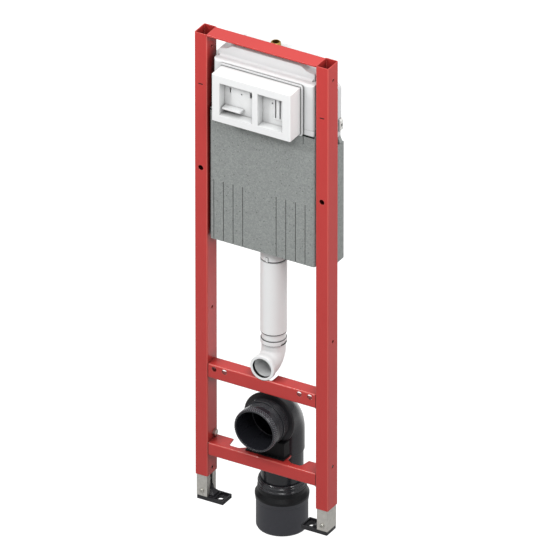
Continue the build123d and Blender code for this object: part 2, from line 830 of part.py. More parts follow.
def open_band():
    """Space that leaves the right side of the elbow's collars open."""
    return block((-frame_width, elbow_collar_end_x), (-post_depth, 4 * pipe_y), (flush_z, pipe_bottom_z))


def flush_elbow():
    """Elbow from the bowl up into the flush pipe, with a socket for its seal."""
    top = pipe_bottom_z + pipe_insert
    body = pipe_run(elbow_r, elbow_front_y, pipe_y, flush_z, top, elbow_bend_r)
    front = elbow_front_y
    seal_groove = seal_depth + 2 * seat_gap
    groove_y = front + mouth_lip_depth + seal_groove / 2
    socket_back = groove_y + seal_groove / 2 + mouth_socket_wall
    ring = [(0, front), (mouth_ring_r - mouth_ring_edge, front), (mouth_ring_r, front + mouth_ring_edge)]
    ring += [(mouth_ring_r, front + mouth_ring_depth), (mouth_socket_r, front + mouth_ring_depth)]
    ring += [(mouth_socket_r, socket_back), (0, socket_back)]
    body += turned_y(flush_z, ring)
    for middle, height, rise in elbow_collars:
        body += rod_z(0, pipe_y, middle, elbow_r + rise, height) & open_band()
    body -= pipe_run(elbow_bore_r, front - pipe_wall, pipe_y, flush_z, top + pipe_wall, elbow_bend_r)
    body -= rod_y(0, groove_y, flush_z, seal_r + seat_gap, seal_groove)
    return body


def flush_seal():
    """Ring seal in the groove of the elbow's mouth."""
    front = elbow_front_y + mouth_lip_depth + seat_gap
    back = front + seal_depth
    points = [(seal_bore_r + seal_edge, front), (seal_r, front), (seal_r, back), (seal_bore_r, back)]
    points += [(seal_bore_r, front + seal_edge)]
    return turned_y(flush_z, points)


# Drain

def rib_depths():
    """Front-to-back places of the ribs round the drain socket."""
    count = int((rib_last_y - rib_first_y) / rib_pitch) + 1
    return [rib_first_y + number * rib_pitch for number in range(count)]


def drain_bend():
    """Ribbed socket at the front, then a tight bend down to the adapter."""
    front = drain_front_y + mouth_lip + seat_gap
    body = pipe_run(drain_pipe_r, clamp_front_y, drain_y, drain_z, drain_spigot_top_z, drain_bend_r)
    spigot_z = (drain_spigot_top_z + drain_end_z) / 2
    body += rod_z(0, drain_y, spigot_z, drain_spigot_r, drain_spigot_top_z - drain_end_z)
    outer = [(0, front), (socket_r, front)]
    for depth in rib_depths():
        outer += [(socket_r, depth), (rib_r, depth + rib_slant), (rib_r, depth + rib_width - rib_slant)]
        outer += [(socket_r, depth + rib_width)]
    outer += [(socket_r, socket_bottom_y), (0, socket_bottom_y)]
    body += turned_y(drain_z, outer)
    body += rod_y(0, stop_ring_y, drain_z, socket_r + stop_ring_rise, stop_ring_width)
    socket_length = 2 * (socket_bottom_y - front)
    body -= pipe_run(drain_bore_r, front, drain_y, drain_z, drain_end_z - drain_bore_r, drain_bend_r)
    body -= rod_y(0, socket_bottom_y - socket_length / 2, drain_z, socket_bore_r, socket_length)
    return body


def mouth_ring():
    """Ring that closes the front of the drain socket."""
    inner = socket_r + seat_gap
    outer = inner + mouth_wall
    front = drain_front_y
    back = front + mouth_depth
    edge = mouth_edge
    points = [(socket_bore_r, front + edge / 2), (socket_bore_r + edge / 2, front)]
    points += [(outer - mouth_slope_width, front), (outer, front + mouth_slope_depth)]
    points += [(outer, back - edge), (outer - edge, back), (inner, back)]
    points += [(inner, front + mouth_lip), (socket_bore_r, front + mouth_lip)]
    return turned_y(drain_z, points)


def drain_clamp():
    """Clamp ring round the back end of the socket, grooved on its rim."""
    inner = rib_r + seat_gap
    front = clamp_front_y
    back = front + clamp_width
    third = clamp_width / 3
    step_r = clamp_r - clamp_step
    points = [(inner, front), (step_r, front), (step_r, front + third - clamp_slant)]
    points += [(clamp_r, front + third), (clamp_r, back - third), (clamp_r - clamp_groove, back - third)]
    points += [(clamp_r - clamp_groove, back), (inner, back)]
    return turned_y(drain_z, points)


def drain_saddle():
    """Saddle on the lower bar that carries the drain socket and its clamp ring."""
    back = post_depth - saddle_back_gap
    base = low_bar_top_z
    body = block((-saddle_half, saddle_half), (saddle_front_y, back), (base, saddle_top_z))
    foot_z = (base, base + saddle_base_height)
    body += block((-saddle_base_half, saddle_base_half), (saddle_base_front_y, back), foot_z)
    length = 4 * post_depth
    body -= rod_y(0, 0, drain_z, rib_r + seat_gap, length)
    ring_front = clamp_front_y - seat_gap
    body -= rod_y(0, ring_front + length / 2, drain_z, clamp_r + seat_gap, length)
    body -= rod_z(0, drain_y, base, drain_pipe_r + pipe_clearance, length)
    return body


def adapter():
    """Reducer from the drain pipe to the wider soil pipe."""
    bore = adapter_r - adapter_wall
    socket_bore = drain_spigot_r + seat_gap
    ring_top = adapter_ring_z + adapter_ring_height
    points = [(bore, adapter_bottom_z), (adapter_r - adapter_taper_width, adapter_bottom_z)]
    points += [(adapter_r, adapter_bottom_z + adapter_taper_height)]
    points += [(adapter_r, adapter_ring_z), (adapter_r + adapter_ring_lip, adapter_ring_z)]
    points += [(adapter_ring_r, ring_top - adapter_ring_edge), (adapter_ring_r, ring_top)]
    points += [(adapter_socket_r, adapter_cone_top_z), (adapter_socket_r, adapter_socket_top_z)]
    points += [(socket_bore, adapter_socket_top_z), (socket_bore, adapter_floor_z)]
    points += [(drain_bore_r, adapter_floor_z), (drain_bore_r, adapter_floor_z - adapter_floor)]
    points += [(bore, adapter_ring_z - adapter_floor)]
    return turned_z(drain_y, points)


def adapter_collar():
    """Beaded collar that holds the seal at the top of the adapter."""
    inner = drain_spigot_r + seat_gap
    low = adapter_socket_top_z + seat_gap
    bead_r = collar_r + collar_bead
    points = [(inner, low)]
    for rise in collar_bead_rises:
        base = low + rise
        points += [(bead_r, base), (bead_r, base + collar_bead_height)]
        points += [(collar_r, base + collar_bead_height + collar_bead_slant)]
        if rise != collar_bead_rises[-1]:
            points += [(collar_r, low + collar_bead_rises[-1] - collar_bead_slant)]
    edge = collar_bead
    points += [(collar_r, collar_top_z - edge), (collar_r - edge, collar_top_z), (inner, collar_top_z)]
    return turned_z(drain_y, points)


def pieces():
    """Every piece by its node name."""
    made = {}
    for name, side in (("left", -1), ("right", 1)):
        made[name + "_post"] = post(side)
        made[name + "_leg"] = leg(side)
        made[name + "_foot"] = foot(side)
        made[name + "_foot_screw"] = foot_screw(side)
        made[name + "_clamp_screw"] = clamp_screw(side)
        made[name + "_tank_clip"] = tank_clip(side)
    made["top_bar"] = top_bar()
    made["bowl_mounting_bar"] = bowl_bar()
    made["lower_bar"] = low_bar()
    made["insulation_front"] = insulation_front()
    made["insulation_back"] = insulation_back()
    made["cistern_tub"] = tank_tub()
    made["cistern_hood"] = tank_hood()
    made["opening_rim"] = opening_rim()
    made["service_box"] = service_box()
    made["recess_panel"] = back_panel()
    made["flush_lever"] = lever()
    made["guide_rail"] = guide_rail()
    made["water_inlet"] = water_inlet()
    made["cistern_outlet"] = outlet()
    made["flush_pipe"] = flush_pipe()
    made["flush_elbow"] = flush_elbow()
    made["flush_seal"] = flush_seal()
    made["drain_bend"] = drain_bend()
    made["drain_mouth_ring"] = mouth_ring()
    made["drain_clamp_ring"] = drain_clamp()
    made["drain_saddle"] = drain_saddle()
    made["drain_adapter"] = adapter()
    made["adapter_collar"] = adapter_collar()
    return made


os.makedirs("parts", exist_ok=True)
for node, shape in pieces().items():
    placed = Pos(0, -post_depth, -origin_z) * shape
    export_step(placed, "parts/" + node + ".step")
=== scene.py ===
import json
import math

import bmesh
import bpy
from mathutils import Matrix, Vector


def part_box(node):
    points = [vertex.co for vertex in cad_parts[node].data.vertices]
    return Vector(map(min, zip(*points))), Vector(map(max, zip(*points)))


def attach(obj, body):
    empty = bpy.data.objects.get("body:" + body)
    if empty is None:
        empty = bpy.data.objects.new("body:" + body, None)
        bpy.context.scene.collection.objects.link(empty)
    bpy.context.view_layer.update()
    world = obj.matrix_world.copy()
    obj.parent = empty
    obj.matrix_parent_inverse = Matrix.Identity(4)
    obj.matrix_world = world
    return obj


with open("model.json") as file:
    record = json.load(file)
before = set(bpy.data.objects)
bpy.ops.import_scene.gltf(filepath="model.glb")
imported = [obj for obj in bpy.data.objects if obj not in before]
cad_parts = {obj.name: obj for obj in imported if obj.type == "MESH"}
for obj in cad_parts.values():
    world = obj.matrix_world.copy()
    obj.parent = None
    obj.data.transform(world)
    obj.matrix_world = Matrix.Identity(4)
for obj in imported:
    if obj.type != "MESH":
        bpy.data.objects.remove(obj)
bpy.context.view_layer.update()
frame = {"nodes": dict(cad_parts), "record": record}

# Narrow steel frame for a wall hung toilet, in metres, origin on the wall face of the top bar.
# Every place below comes from the boxes of the CAD nodes, apart from the level of the metre mark.

MM = 0.001

# Camera: 30 degrees to the right of the front and 30 above, with a lens so long that edges stay parallel
VIEW_AZIMUTH = math.radians(30)
VIEW_ELEVATION = math.radians(30)
LENS = 1500.0
SENSOR = 33.0
VIEW_WIDTH = 1.1492
TARGET = Vector((-0.10177, 0.19151, -0.67161))

# Studio: the floor lies below the feet when the legs are drawn out
LEG_TRAVEL = 0.14
FLOOR_CLEARANCE = 10 * MM
FLOOR_RADIUS = 9.0

# Surfaces: the drain adapter changes colour at the split, measured from its lower end, and is painted black above it
# as shade
OCCLUSION_SAMPLES = 8
BEVEL_SAMPLES = 6
ADAPTER_SPLIT = 74 * MM

# Small pieces. A grip row has a depth behind the ring's front and a sink below its surface. A point of the
# thread's profile has a radius and a height from the crest.
ROUND_STEPS = 96
THREAD_STEPS = 48
CORNER_STEPS = 5
STRIP_BEVEL = 0.25 * MM
RIM_SHADE_INNER, RIM_SHADE_OUTER = 4.3 * MM, 5.5 * MM
RIM_SHADE_CORNER = 3 * MM
GRIP_COUNT = 60
GRIP_ROWS_MM = ((2.4, 0.9), (5.4, 0.4), (8.4, 0.4), (11.4, 0.4))
GRIP_SIZE = (3.4 * MM, 1.0 * MM, 1.6 * MM)
GRIP_BEVEL = 0.2 * MM
MARK_LEVEL = -0.11
MARK_HALF_WIDTH = 5.5 * MM
MARK_HALF_HEIGHT = 1.3 * MM
END_SHADE_WIDTH = 1.2 * MM
THREAD_TURNS = 5
THREAD_START = 5.0 * MM
THREAD_PITCH = 1.8 * MM
THREAD_PROFILE_MM = ((10.3, -0.6), (11.0, 0.0), (10.3, 0.6))
LIP_THICKNESS = 3 * MM


# Colour, size and shader helpers

def linear(code):
    """Linear colour from an sRGB hex value."""
    parts = [int(code[i:i + 2], 16) / 255 for i in (1, 3, 5)]
    return [c / 12.92 if c <= 0.04045 else ((c + 0.055) / 1.055) ** 2.4 for c in parts] + [1.0]


def per_metre(size_mm):
    """Texture scale at which one cell is this many millimetres."""
    return 1000.0 / size_mm


def waves_per_metre(size_mm):
    """Scale of a wave texture, which fits 10 / pi waves into a cell, for waves this many millimetres apart."""
    return per_metre(size_mm) * math.pi / 10


def pick(sockets, key):
    """Socket with this identifier or name."""
    return next(s for s in sockets if key in (s.identifier, s.name))


def add(tree, kind, settings, links=None):
    """Adds a node, sets its sockets or properties by name and links its inputs to (node, output) pairs."""
    node = tree.nodes.new(kind)
    for key, value in settings.items():
        if hasattr(node, key):
            setattr(node, key, value)
        else:
            pick(node.inputs, key).default_value = value
    for key, (source, output) in (links or {}).items():
        tree.links.new(pick(source.outputs, output), pick(node.inputs, key))
    return node


def start(name):
    """Empty material and its node tree."""
    material = bpy.data.materials.new(name)
    material.use_nodes = True
    material.node_tree.nodes.clear()
    return material, material.node_tree


# Materials

def painted_corner_shade(tree, colour, *layers):
    """Painted shade: darkens a colour in corners and narrow gaps, by (reach in mm, strength) layers."""
    for reach_mm, strength in layers:
        open_share = add(tree, "ShaderNodeAmbientOcclusion",
                         {"samples": OCCLUSION_SAMPLES, "Distance": reach_mm * MM})
        corner_shade = add(tree, "ShaderNodeMath", {"operation": "POWER", "Value_001": strength},
                   {"Value": (open_share, "AO")})
        colour = add(tree, "ShaderNodeMix", {"data_type": "RGBA", "blend_type": "MULTIPLY", "Factor_Float": 1.0},
                     {"A_Color": (colour, "Result_Color"), "B_Color": (corner_shade, "Value")})
    return colour


def paler_where_open(tree, colour, amount, pale, reach_mm):
    """Mixes a paler colour in as a painted highlight, by an amount that fades in corners and in gaps narrower than a
    reach.
    """
    open_share = add(tree, "ShaderNodeAmbientOcclusion",
                     {"samples": OCCLUSION_SAMPLES, "Distance": reach_mm * MM})
    shown = add(tree, "ShaderNodeMath", {"operation": "MULTIPLY"},
                {"Value": (amount, "Result"), "Value_001": (open_share, "AO")})
    return add(tree, "ShaderNodeMix", {"data_type": "RGBA", "B_Color": linear(pale)},
               {"Factor_Float": (shown, "Value"), "A_Color": (colour, "Result_Color")})


def painted_edge_highlight(tree, colour, width_mm, pale, share):
    """Painted highlight: paler colour where a softened normal leaves the true one, so along every open sharp edge."""
    soft = add(tree, "ShaderNodeBevel", {"samples": BEVEL_SAMPLES, "Radius": width_mm * MM})
    face = add(tree, "ShaderNodeNewGeometry", {})
    match = add(tree, "ShaderNodeVectorMath", {"operation": "DOT_PRODUCT"},
                {"Vector": (soft, "Normal"), "Vector_001": (face, "True Normal")})
    edge_highlight = add(tree, "ShaderNodeMapRange", {"From Min": 0.985, "From Max": 0.88, "To Max": share},
               {"Value": (match, "Value")})
    return paler_where_open(tree, colour, edge_highlight, pale, reach_mm=90)


def lit_bends(tree, colour, width_mm, pale, share):
    """Painted highlight: paler colour on the folds and corners of upright square work, where the softened normal is
    oblique.
    """
    soft = add(tree, "ShaderNodeBevel", {"samples": BEVEL_SAMPLES, "Radius": width_mm * MM})
    size = add(tree, "ShaderNodeVectorMath", {"operation": "ABSOLUTE"}, {"Vector": (soft, "Normal")})
    parts = add(tree, "ShaderNodeSeparateXYZ", {}, {"Vector": (size, "Vector")})
    flat = add(tree, "ShaderNodeMath", {"operation": "MAXIMUM"},
               {"Value": (parts, "X"), "Value_001": (parts, "Y")})
    most = add(tree, "ShaderNodeMath", {"operation": "MAXIMUM"},
               {"Value": (flat, "Value"), "Value_001": (parts, "Z")})
    bend = add(tree, "ShaderNodeMapRange", {"From Min": 0.985, "From Max": 0.80, "To Max": share},
               {"Value": (most, "Value")})
    return paler_where_open(tree, colour, bend, pale, reach_mm=15)


def powder_coated_steel():
    """Polyester powder sprayed and baked on steel: satin red, with a faint orange peel of the real size, a
    painted highlight along each fold and painted shade in corners."""
    material, tree = start("powder_coated_steel")
    place = add(tree, "ShaderNodeTexCoord", {})
    peel = add(tree, "ShaderNodeTexNoise", {"Scale": per_metre(1.6), "Detail": 2.0},
               {"Vector": (place, "Object")})
    cloud = add(tree, "ShaderNodeTexNoise", {"Scale": per_metre(90), "Detail": 3.0},
                {"Vector": (place, "Object")})
    colour = add(tree, "ShaderNodeMix",
                 {"data_type": "RGBA", "A_Color": linear("#C03634"), "B_Color": linear("#CA403C")},
                 {"Factor_Float": (cloud, "Fac")})
    # Painted shade in corners and narrow gaps
    colour = painted_corner_shade(tree, colour, (30, 1.0))
    # Painted highlight along the folds
    colour = lit_bends(tree, colour, 1.5, "#E9877B", 0.38)
    gloss = add(tree, "ShaderNodeMapRange", {"To Min": 0.22, "To Max": 0.28}, {"Value": (cloud, "Fac")})
    edge = add(tree, "ShaderNodeBevel", {"samples": BEVEL_SAMPLES, "Radius": 1.0 * MM})
    bump = add(tree, "ShaderNodeBump", {"Strength": 0.12, "Distance": 0.1 * MM},
               {"Height": (peel, "Fac"), "Normal": (edge, "Normal")})
    shader = add(tree, "ShaderNodeBsdfPrincipled", {"IOR": 1.5, "Specular IOR Level": 0.45},
                 {"Base Color": (colour, "Result_Color"), "Roughness": (gloss, "Result"), "Normal": (bump, "Normal")})
    add(tree, "ShaderNodeOutputMaterial", {}, {"Surface": (shader, "BSDF")})
    return material


def galvanised_steel():
    """Hot-dip zinc on steel tube: matt grey metal with a faint spangle of 5 mm crystals."""
    material, tree = start("galvanised_steel")
    place = add(tree, "ShaderNodeTexCoord", {})
    spangle = add(tree, "ShaderNodeTexVoronoi", {"Scale": per_metre(5)}, {"Vector": (place, "Object")})
    shade = add(tree, "ShaderNodeSeparateColor", {}, {"Color": (spangle, "Color")})
    colour = add(tree, "ShaderNodeMix",
                 {"data_type": "RGBA", "A_Color": linear("#CBC9C3"), "B_Color": linear("#D7D5CF")},
                 {"Factor_Float": (shade, "Red")})
    gloss = add(tree, "ShaderNodeMapRange", {"To Min": 0.42, "To Max": 0.55}, {"Value": (shade, "Green")})
    edge = add(tree, "ShaderNodeBevel", {"samples": 4, "Radius": 0.5 * MM})
    shader = add(tree, "ShaderNodeBsdfPrincipled", {"Metallic": 0.85},
                 {"Base Color": (colour, "Result_Color"), "Roughness": (gloss, "Result"), "Normal": (edge, "Normal")})
    add(tree, "ShaderNodeOutputMaterial", {}, {"Surface": (shader, "BSDF")})
    return material


def zinc_plated_steel():
    """Blue-passivated zinc on small screws: bright grey metal, a little cloudy."""
    material, tree = start("zinc_plated_steel")
    place = add(tree, "ShaderNodeTexCoord", {})
    cloud = add(tree, "ShaderNodeTexNoise", {"Scale": per_metre(2.5), "Detail": 2.0},
                {"Vector": (place, "Object")})
    gloss = add(tree, "ShaderNodeMapRange", {"To Min": 0.25, "To Max": 0.4}, {"Value": (cloud, "Fac")})
    shader = add(tree, "ShaderNodeBsdfPrincipled", {"Metallic": 1.0, "Base Color": linear("#C8C7C0")},
                 {"Roughness": (gloss, "Result")})
    add(tree, "ShaderNodeOutputMaterial", {}, {"Surface": (shader, "BSDF")})
    return material


def turned_brass():
    """Turned brass: warm metal with fine tool rings. Real rings are 0.2 mm apart, too fine to show, and are drawn
    0.63 mm apart."""
    material, tree = start("turned_brass")
    place = add(tree, "ShaderNodeTexCoord", {})
    rings = add(tree, "ShaderNodeTexWave",
                {"bands_direction": "Z", "Scale": waves_per_metre(0.6283), "Distortion": 0.4},
                {"Vector": (place, "Object")})
    bump = add(tree, "ShaderNodeBump", {"Strength": 0.15, "Distance": 0.05 * MM}, {"Height": (rings, "Fac")})
    shader = add(tree, "ShaderNodeBsdfPrincipled",
                 {"Metallic": 1.0, "Roughness": 0.28, "Base Color": linear("#C9A35A")},
                 {"Normal": (bump, "Normal")})
    add(tree, "ShaderNodeOutputMaterial", {}, {"Surface": (shader, "BSDF")})
    return material


def expanded_polystyrene():
    """Foam moulded from grey beads: fused cells 3.2 mm across, dark seams between them and small dark pits."""
    material, tree = start("expanded_polystyrene")
    place = add(tree, "ShaderNodeTexCoord", {})
    beads = add(tree, "ShaderNodeTexVoronoi", {"Scale": per_metre(3.2)}, {"Vector": (place, "Object")})
    walls = add(tree, "ShaderNodeTexVoronoi", {"feature": "DISTANCE_TO_EDGE", "Scale": per_metre(3.2)},
                {"Vector": (place, "Object")})
    shade = add(tree, "ShaderNodeSeparateColor", {}, {"Color": (beads, "Color")})
    cells = add(tree, "ShaderNodeMix",
                {"data_type": "RGBA", "A_Color": linear("#929694"), "B_Color": linear("#A2A6A4")},
                {"Factor_Float": (shade, "Red")})
    seams = add(tree, "ShaderNodeMapRange", {"From Max": 0.10, "To Min": 0.5, "To Max": 0.0},
                {"Value": (walls, "Distance")})
    seamed = add(tree, "ShaderNodeMix", {"data_type": "RGBA", "B_Color": linear("#6D7270")},
                 {"Factor_Float": (seams, "Result"), "A_Color": (cells, "Result_Color")})
    spots = add(tree, "ShaderNodeTexVoronoi", {"Scale": per_metre(9)}, {"Vector": (place, "Object")})
    pits = add(tree, "ShaderNodeMapRange", {"From Min": 0.10, "From Max": 0.16, "To Min": 0.7, "To Max": 0.0},
               {"Value": (spots, "Distance")})
    pitted = add(tree, "ShaderNodeMix", {"data_type": "RGBA", "B_Color": linear("#3C403F")},
                 {"Factor_Float": (pits, "Result"), "A_Color": (seamed, "Result_Color")})
    # Painted shade in the grooves and narrow gaps of the foam
    colour = painted_corner_shade(tree, pitted, (5, 1.0))
    dome = add(tree, "ShaderNodeMapRange", {"From Max": 0.25}, {"Value": (walls, "Distance")})
    bump = add(tree, "ShaderNodeBump", {"Strength": 0.35, "Distance": 0.3 * MM}, {"Height": (dome, "Result")})
    shader = add(tree, "ShaderNodeBsdfPrincipled", {"IOR": 1.45, "Roughness": 0.72},
                 {"Base Color": (colour, "Result_Color"), "Normal": (bump, "Normal")})
    add(tree, "ShaderNodeOutputMaterial", {}, {"Surface": (shader, "BSDF")})
    return material


def moulded(name, dark, pale, roughness, grain_mm, grain_strength, bevel_mm=0.6, corner_shade=(), edge_highlight=None,
            shine=0.5, top=None):
    """Moulded plastic: a colour that drifts between two near ones, fine mould grain and softened edges.

    Real mould grain is about 0.3 mm, too fine to show, and is drawn about 1 mm. The corner layers paint
    shade into corners and gaps, and the edge settings give the width, colour and share of a painted highlight
    along sharp edges. With top (height, colour, shine) the plastic above that height takes another colour and shine."""
    material, tree = start(name)
    place = add(tree, "ShaderNodeTexCoord", {})
    grain = add(tree, "ShaderNodeTexNoise", {"Scale": per_metre(grain_mm), "Detail": 3.0},
                {"Vector": (place, "Object")})
    cloud = add(tree, "ShaderNodeTexNoise", {"Scale": per_metre(60), "Detail": 2.0},
                {"Vector": (place, "Object")})
    colour = add(tree, "ShaderNodeMix", {"data_type": "RGBA", "A_Color": linear(dark), "B_Color": linear(pale)},
                 {"Factor_Float": (cloud, "Fac")})
    # Painted shade in corners and gaps, by the given layers
    colour = painted_corner_shade(tree, colour, *corner_shade)
    # Painted highlight along sharp edges, when edge settings are given
    if edge_highlight:
        colour = painted_edge_highlight(tree, colour, *edge_highlight)
    gloss = add(tree, "ShaderNodeMapRange", {"To Min": roughness - 0.05, "To Max": roughness + 0.06},
                {"Value": (grain, "Fac")})
    edge = add(tree, "ShaderNodeBevel", {"samples": BEVEL_SAMPLES, "Radius": bevel_mm * MM})
    bump = add(tree, "ShaderNodeBump", {"Strength": grain_strength, "Distance": 0.1 * MM},
               {"Height": (grain, "Fac"), "Normal": (edge, "Normal")})
    links = {"Base Color": (colour, "Result_Color"), "Roughness": (gloss, "Result"), "Normal": (bump, "Normal")}
    # Above the given height the colour and shine change; on the adapter this is painted shade
    if top:
        height, second_colour, second_shine = top
        level = add(tree, "ShaderNodeSeparateXYZ", {}, {"Vector": (place, "Object")})
        above = add(tree, "ShaderNodeMapRange", {"From Min": height - 0.2 * MM, "From Max": height + 0.2 * MM},
                    {"Value": (level, "Z")})
        painted_shade_above = add(tree, "ShaderNodeMix", {"data_type": "RGBA", "B_Color": linear(second_colour)},
                        {"Factor_Float": (above, "Result"), "A_Color": (colour, "Result_Color")})
        shine_above = add(tree, "ShaderNodeMapRange", {"To Min": shine, "To Max": second_shine},
                         {"Value": (above, "Result")})
        links["Base Color"] = (painted_shade_above, "Result_Color")
        links["Specular IOR Level"] = (shine_above, "Result")
    shader = add(tree, "ShaderNodeBsdfPrincipled", {"IOR": 1.5, "Specular IOR Level": shine}, links)
    add(tree, "ShaderNodeOutputMaterial", {}, {"Surface": (shader, "BSDF")})
    return material


FINISHES = {
    "red_steel": powder_coated_steel(),
    "galvanised_steel": galvanised_steel(),
    "zinc_screw": zinc_plated_steel(),
    "grey_foam": expanded_polystyrene(),
    "brass": turned_brass(),
    # Blow moulded tank: cool white with a waxy sheen, round edges and painted shade that greys its corners
    "white_plastic": moulded("polyethylene_white", "#E0E2E3", "#E7E9E9", roughness=0.42, grain_mm=1.2,
                             grain_strength=0.05, bevel_mm=1.2, corner_shade=((20, 0.5), (4, 0.9))),
    # Injection moulded service box: the cleanest white, with an even low sheen and painted shade in its corners
    "box_plastic": moulded("abs_white", "#EFF0F0", "#F3F4F4", roughness=0.38, grain_mm=0.8,
                           grain_strength=0.04, bevel_mm=0.9, corner_shade=((30, 0.45), (4, 0.25))),
    # Injection moulded clips: warmer white, with painted shade in their narrow gaps
    "clip_plastic": moulded("polyacetal_natural", "#E4E4E0", "#EAEAE6", roughness=0.40, grain_mm=0.8,
                            grain_strength=0.04, bevel_mm=0.6, corner_shade=((5, 1.5),)),
    # Injection moulded feet and clamp ring: satin black with a grain that breaks up highlights
    "black_plastic": moulded("polyamide_black", "#1B1B1E", "#232327", roughness=0.46, grain_mm=0.8,
                             grain_strength=0.10),
    # Injection moulded drain bend: glossy black with sharp highlights and a painted grey highlight along its edges
    "drain_plastic": moulded("polyethylene_black", "#222328", "#28292E", roughness=0.20, grain_mm=0.9,
                             grain_strength=0.05, bevel_mm=1.0, edge_highlight=(1.0, "#8A8C90", 0.45)),
    # Injection moulded adapter: satin dark grey with a painted pale highlight along its edges, and the upper part
    # painted black and duller as shade on its downward-facing cone
    "anthracite_plastic": moulded("polypropylene_anthracite", "#303137", "#36373E", roughness=0.40, grain_mm=1.0,
                                  grain_strength=0.05, bevel_mm=0.8, edge_highlight=(1.2, "#606268", 0.5),
                                  top=(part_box("drain_adapter")[0].z + ADAPTER_SPLIT, "#0F1013", 0.25)),
    # Extruded and moulded flush pipes: bright white with a soft sheen and painted shade in the gaps at the joints
    "pipe_plastic": moulded("polypropylene_white", "#F6F8F8", "#FAFBFB", roughness=0.34, grain_mm=1.0,
                            grain_strength=0.04, bevel_mm=0.8, corner_shade=((40, 0.5), (3, 2.0))),
    # Moulded rubber of the drain saddle, and dead matt black for the strips and rings of painted shade in gaps
    "black_rubber": moulded("epdm_rubber", "#0E0F11", "#131416", roughness=0.58, grain_mm=0.7,
                            grain_strength=0.12, shine=0.2),
    # Grip bars round the drain's mouth ring: mid grey with a smooth shine, as a painted highlight
    "knurl_highlight_plastic": moulded("polyethylene_knurl_highlight", "#6E7075", "#7C7E83", roughness=0.30, grain_mm=0.9,
                              grain_strength=0.05),
}

# Nodes whose finish differs from that of their slot in the record
OWN_FINISHES = {"flush_pipe": "pipe_plastic", "flush_elbow": "pipe_plastic", "cistern_outlet": "pipe_plastic",
                "adapter_collar": "drain_plastic", "drain_saddle": "black_rubber"}


def dress_nodes():
    """Gives every CAD node the finish of its slot in the record, or its own one."""
    for part in frame["record"]["subparts"]:
        node = frame["nodes"][part["node"]]
        node.data.materials.clear()
        node.data.materials.append(FINISHES[OWN_FINISHES.get(part["node"], part["material_slot"])])


# Helpers for small pieces

def rounded_rectangle(low, high, margin, corner):
    """Points (x, z) of a rectangle between two opposite corners, with its corners rounded and a margin outside."""
    points = []
    middles = ((high.x - corner, high.z - corner), (low.x + corner, high.z - corner),
               (low.x + corner, low.z + corner), (high.x - corner, low.z + corner))
    for quarter, (x, z) in enumerate(middles):
        for step in range(CORNER_STEPS + 1):
            angle = math.pi / 2 * (quarter + step / CORNER_STEPS)
            points.append((x + (corner + margin) * math.cos(angle), z + (corner + margin) * math.sin(angle)))
    return points


def level_circle(centre, radius, z, steps):
    """Points of a level circle round the vertical axis through a centre."""
    angles = [2 * math.pi * k / steps for k in range(steps)]
    return [(centre.x + radius * math.cos(a), centre.y + radius * math.sin(a), z) for a in angles]


def tube_between(mesh, rings):
    """Closes a row of point rings, each with as many points, into one ring-shaped solid."""
    rows = [[mesh.verts.new(point) for point in ring] for ring in rings]
    for row, following in zip(rows, rows[1:] + rows[:1]):
        for k in range(len(row)):
            mesh.faces.new((row[k], row[k - 1], following[k - 1], following[k]))


def add_piece(name, mesh, slot_name, body="frame", finish=None):
    """Turns a mesh into a piece, in the finish of a slot or one of its own, that rides on a body."""
    bmesh.ops.recalc_face_normals(mesh, faces=mesh.faces)
    data = bpy.data.meshes.new(name)
    mesh.to_mesh(data)
    mesh.free()
    data.materials.append(FINISHES[finish or slot_name])
    piece = bpy.data.objects.new(name, data)
    bpy.context.scene.collection.objects.link(piece)
    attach(piece, body)


def strip(name, low, high, slot_name):
    """Straight strip between two opposite corners, with its edges bevelled."""
    low, high = Vector(low), Vector(high)
    mesh = bmesh.new()
    bmesh.ops.create_cube(mesh, size=1.0)
    bmesh.ops.transform(mesh, matrix=Matrix.Translation((low + high) / 2) @ Matrix.Diagonal((*(high - low), 1.0)),
                        verts=mesh.verts)
    bmesh.ops.bevel(mesh, geom=mesh.edges[:], offset=STRIP_BEVEL, segments=2, affect="EDGES", profile=0.5)
    add_piece(name, mesh, slot_name)


def dark_shade_ring(name, centre, inner_mm, outer_mm, low_z, high_z):
    """Flat dark ring round a vertical axis, in black rubber, for painted shade at a joint."""
    mesh = bmesh.new()
    profile = ((inner_mm, low_z), (outer_mm, low_z), (outer_mm, high_z), (inner_mm, high_z))
    tube_between(mesh, [level_circle(centre, radius * MM, z, ROUND_STEPS) for radius, z in profile])
    for face in mesh.faces:
        face.smooth = True
    add_piece(name, mesh, "black_rubber")


# Small pieces that the CAD leaves out, and dark strips of painted shade

def service_box_shade_lines():
    """Dark strips of painted shade in the gap outside the raised rim round the service box and at the box's right
    side.
    """
    box_low, box_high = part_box("service_box")
    rim_low, rim_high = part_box("opening_rim")
    mesh = bmesh.new()
    front, back = rim_low.y + 2.4 * MM, rim_low.y + 3.0 * MM
    rings = []
    for margin, y in ((RIM_SHADE_INNER, front), (RIM_SHADE_OUTER, front),
                      (RIM_SHADE_OUTER, back), (RIM_SHADE_INNER, back)):
        rings.append([(x, y, z) for x, z in rounded_rectangle(box_low, box_high, margin, RIM_SHADE_CORNER)])
    tube_between(mesh, rings)
    add_piece("rim_shade_line", mesh, "black_rubber")
    left, right = box_high.x + 0.4 * MM, box_high.x + 1.2 * MM
    front, back = rim_low.y + 2.2 * MM, rim_high.y - 0.5 * MM
    top = box_high.z - 1.0 * MM
    strip("box_side_shade_line", (left, front, box_low.z), (right, back, top), "black_rubber")


